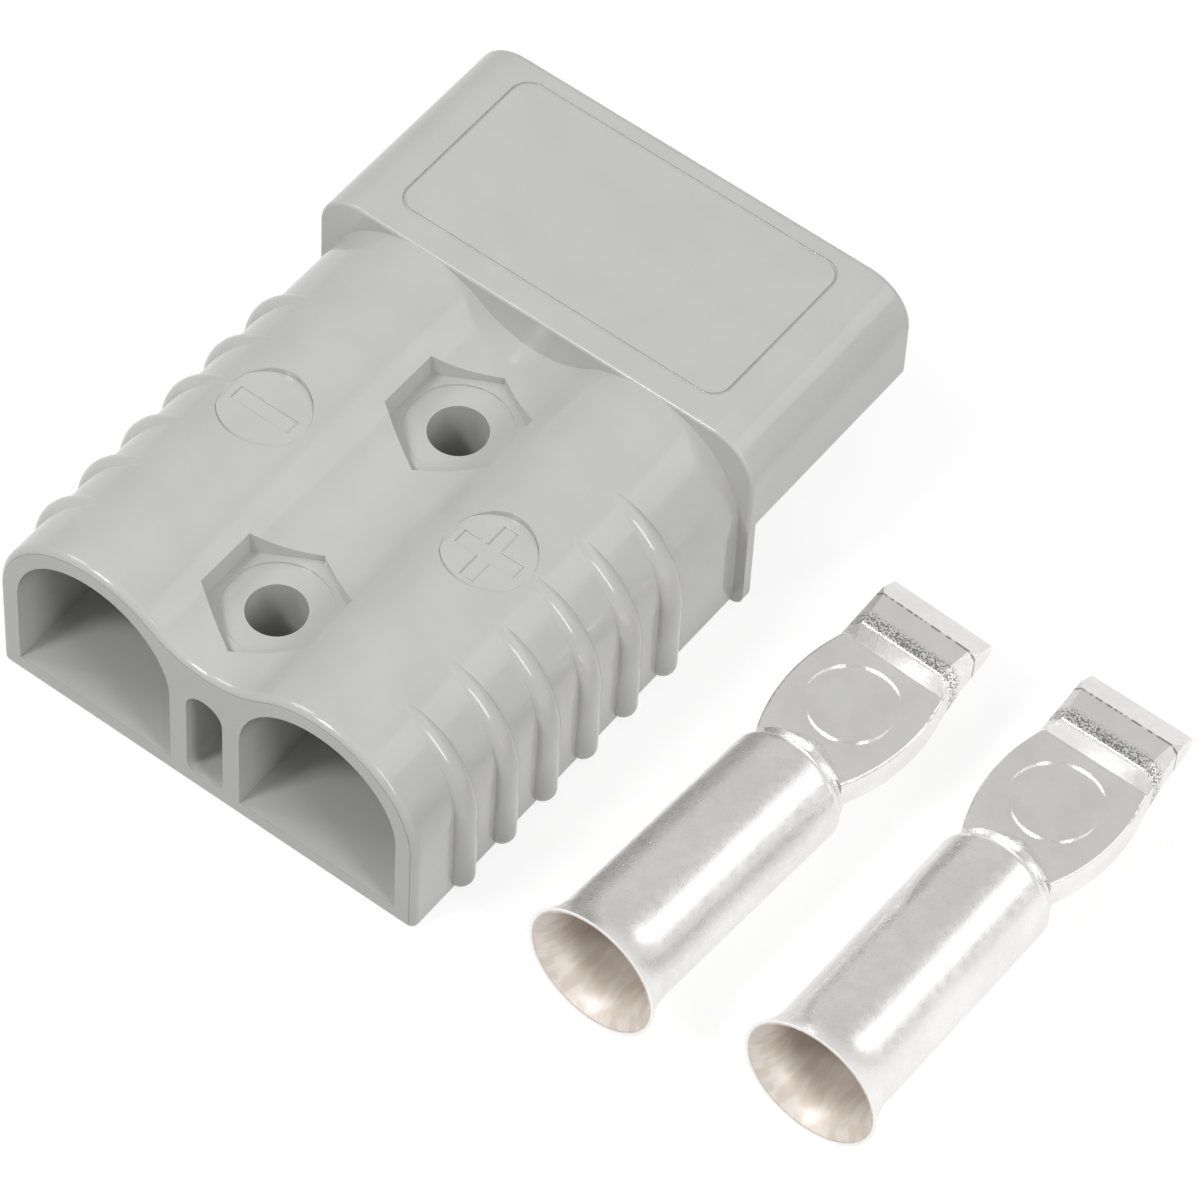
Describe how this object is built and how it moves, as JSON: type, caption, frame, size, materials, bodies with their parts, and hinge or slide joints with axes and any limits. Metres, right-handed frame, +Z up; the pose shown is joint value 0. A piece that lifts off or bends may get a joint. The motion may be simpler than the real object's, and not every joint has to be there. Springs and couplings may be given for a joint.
{
  "type": "genderless power connector",
  "caption": "Genderless two-pole power connector: ribbed moulded housing with leaf springs, and loose flared crimp contacts beside it.",
  "frame": {"origin": "on the flat underside, midway between the two mounting holes", "axes": "+X across the two poles, +Y from the cable end to the mating end, +Z up through the mounting holes"},
  "size_m": [0.1055, 0.0795, 0.025],
  "materials": {
    "housing": "satin light grey moulded polycarbonate",
    "contact": "silver-plated copper, satin",
    "spring": "stainless spring strip"
  },
  "bodies": {
    "root": {"housing": "housing", "leaf_spring_left": "spring", "leaf_spring_right": "spring", "power_contact_near": "contact", "power_contact_far": "contact"}
  },
  "joints": []
}
